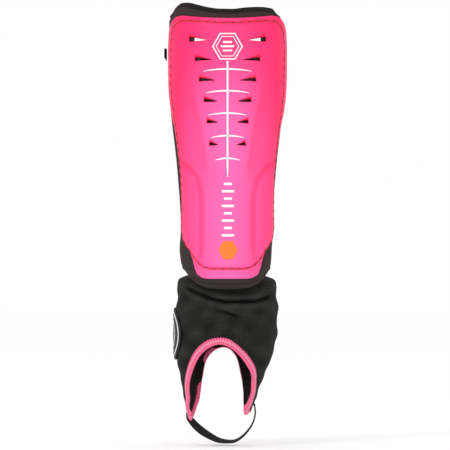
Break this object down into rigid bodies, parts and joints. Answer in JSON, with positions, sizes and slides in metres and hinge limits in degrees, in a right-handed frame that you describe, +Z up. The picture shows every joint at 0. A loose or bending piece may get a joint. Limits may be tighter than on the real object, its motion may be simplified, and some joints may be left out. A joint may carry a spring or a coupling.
{
  "type": "shin guard",
  "caption": "Curved front shell on a foam liner with a calf strap behind, a knitted ankle sock with foot and heel openings, and an elastic stirrup below.",
  "frame": {"origin": "on the leg's axis, level with the front shell's lower edge", "axes": "+Z up the leg, -Y towards the front of the shin, +X to the viewer's right when seen from the front"},
  "size_m": [0.1254, 0.1161, 0.4394],
  "materials": {
    "shell_plastic": "smooth moulded polypropylene, soft sheen, hot pink",
    "shell_thread": "twisted polyester thread, dark red",
    "liner_foam": "closed-cell foam with a matt knitted face, charcoal",
    "lining_fabric": "thin brushed knit, black",
    "strap_elastic": "woven elastic, black",
    "black_thread": "polyester thread, black",
    "hook_and_loop": "hook-and-loop tape, black",
    "sock_knit": "fine ribbed stretch knit, black",
    "tab_rubber": "soft moulded rubber, black",
    "pink_binding": "folded elastic binding with zigzag stitching, hot pink",
    "disc_fabric": "smooth coated fabric over a moulded disc, black",
    "white_print": "thin raised print, white"
  },
  "bodies": {
    "guard": {"front_shell": "shell_plastic", "shell_stitches": "shell_thread", "foam_liner": "liner_foam", "inner_lining": "lining_fabric", "strap_anchor": "strap_elastic", "anchor_stitches": "black_thread", "loop_patch": "hook_and_loop", "sock_gather": "sock_knit"},
    "calf_strap": {"calf_strap": "strap_elastic"},
    "strap_end": {"strap_end": "strap_elastic", "hook_patch": "hook_and_loop", "pull_tab": "tab_rubber", "strap_end_stitches": "black_thread"},
    "ankle_sock": {"sock_front_panel": "sock_knit", "sock_rear_panel": "sock_knit", "foot_opening_binding": "pink_binding", "heel_opening_binding": "pink_binding", "ankle_disc_cover": "disc_fabric", "ankle_disc_outer_ring": "white_print", "ankle_disc_inner_ring": "white_print", "left_ankle_pad": "liner_foam", "right_ankle_pad": "liner_foam"},
    "stirrup": {"stirrup_band": "strap_elastic", "stirrup_tacks": "black_thread"}
  },
  "joints": [
    {"name": "strap_swing", "type": "hinge", "parent": "guard", "child": "calf_strap", "pos_m": [0.0578, 0.0155, 0.217], "axis": [0, 0, -1], "range_deg": [0, 100]},
    {"name": "strap_peel", "type": "hinge", "parent": "calf_strap", "child": "strap_end", "pos_m": [-0.0569, 0.0222, 0.217], "axis": [0, 0, -1], "range_deg": [0, 110]},
    {"name": "ankle_flex", "type": "hinge", "parent": "guard", "child": "ankle_sock", "pos_m": [0, 0.004, -0.006], "axis": [1, 0, 0], "range_deg": [-12, 35], "deforming": ["sock_gather"]},
    {"name": "stirrup_swing", "type": "hinge", "parent": "ankle_sock", "child": "stirrup", "pos_m": [-0.008, 0, -0.13], "axis": [1, 0, 0], "range_deg": [-50, 50]}
  ]
}
